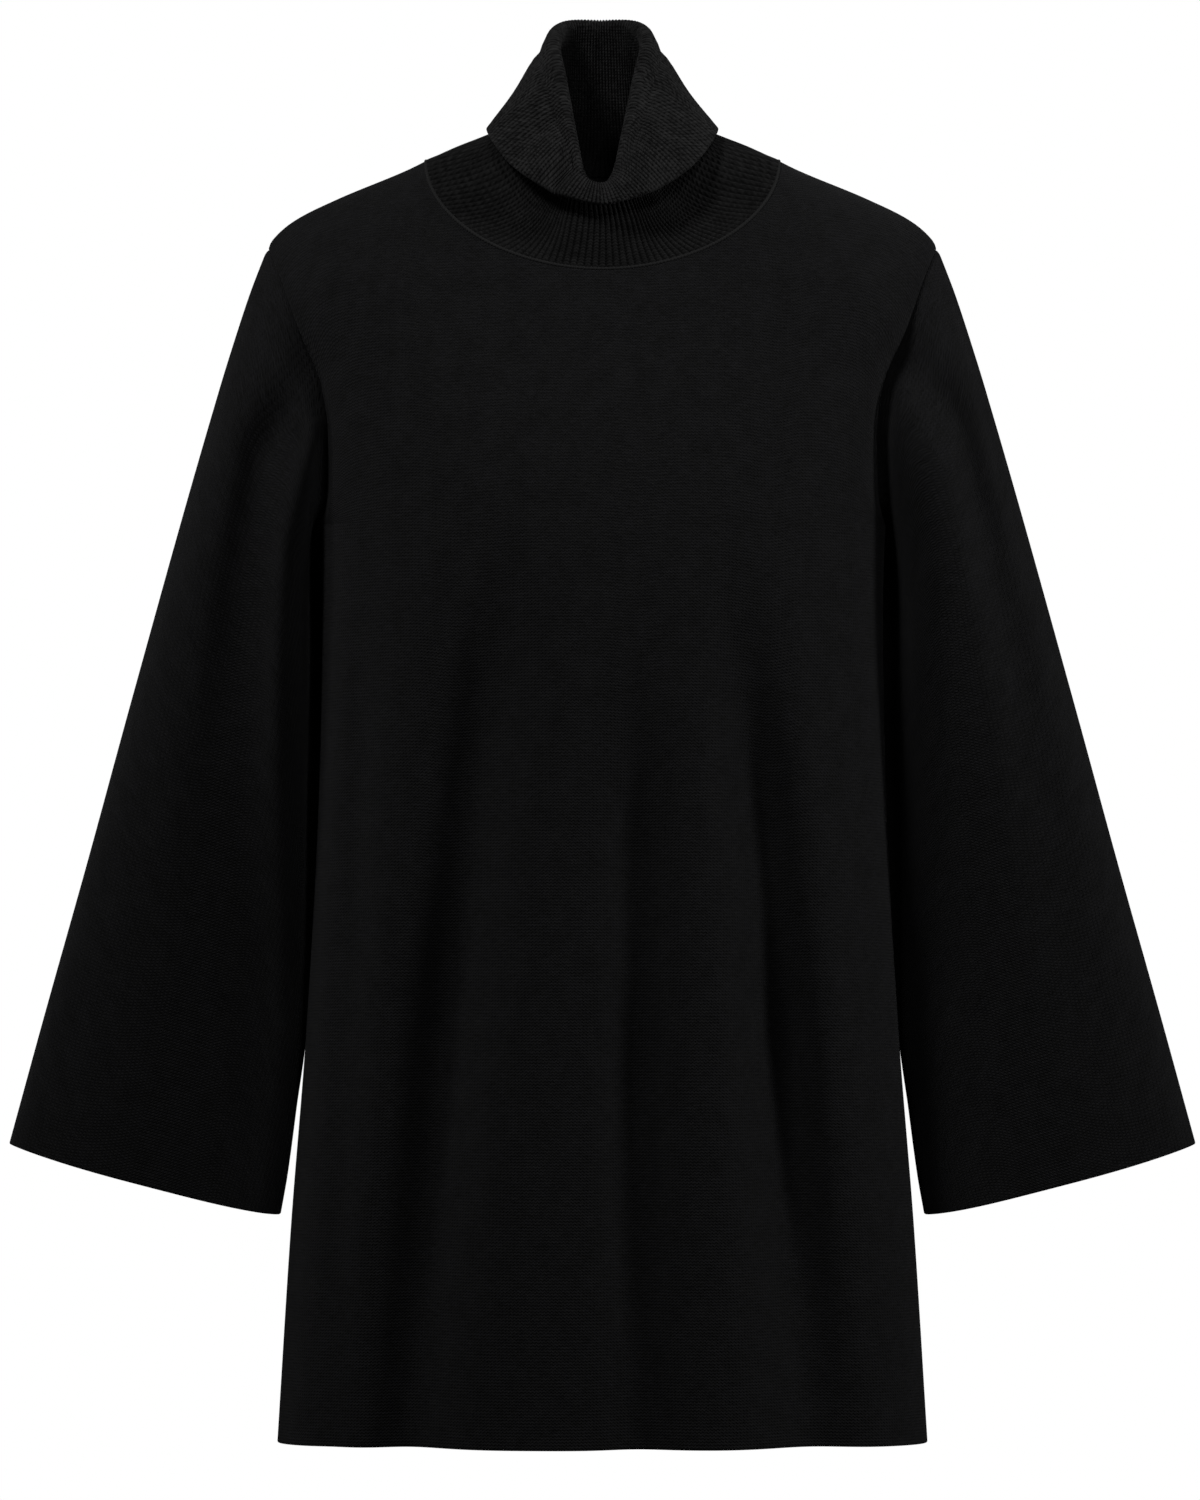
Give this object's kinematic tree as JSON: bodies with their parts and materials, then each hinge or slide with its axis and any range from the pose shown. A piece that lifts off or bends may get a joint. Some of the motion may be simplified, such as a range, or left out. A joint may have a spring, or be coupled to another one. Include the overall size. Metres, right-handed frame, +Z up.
{
  "type": "sweater dress",
  "caption": "Short A-line knit dress, hollow and filled out, with wide flared sleeves set into curved armholes and a ribbed roll-neck collar; open at neck, hem and cuffs.",
  "frame": {"origin": "On the shoulder line at the centre of the base of the neck, where the wearer's shoulders hold the dress; midway between the neck ends of the shoulder seams.", "axes": "+Z up, the front of the dress faces -Y, +X towards the wearer's left."},
  "size_m": [0.783, 0.2445, 0.9422],
  "materials": {
    "front_jersey": "matt fine-gauge jersey knit, near black",
    "back_jersey": "matt fine-gauge jersey knit, near black",
    "sleeve_left_jersey": "matt fine-gauge jersey knit, near black",
    "sleeve_right_jersey": "matt fine-gauge jersey knit, near black",
    "collar_rib": "matt ribbed knit, near black"
  },
  "bodies": {
    "root": {"front": "front_jersey", "back": "back_jersey", "sleeve_left": "sleeve_left_jersey", "sleeve_right": "sleeve_right_jersey", "collar": "collar_rib"}
  },
  "joints": []
}
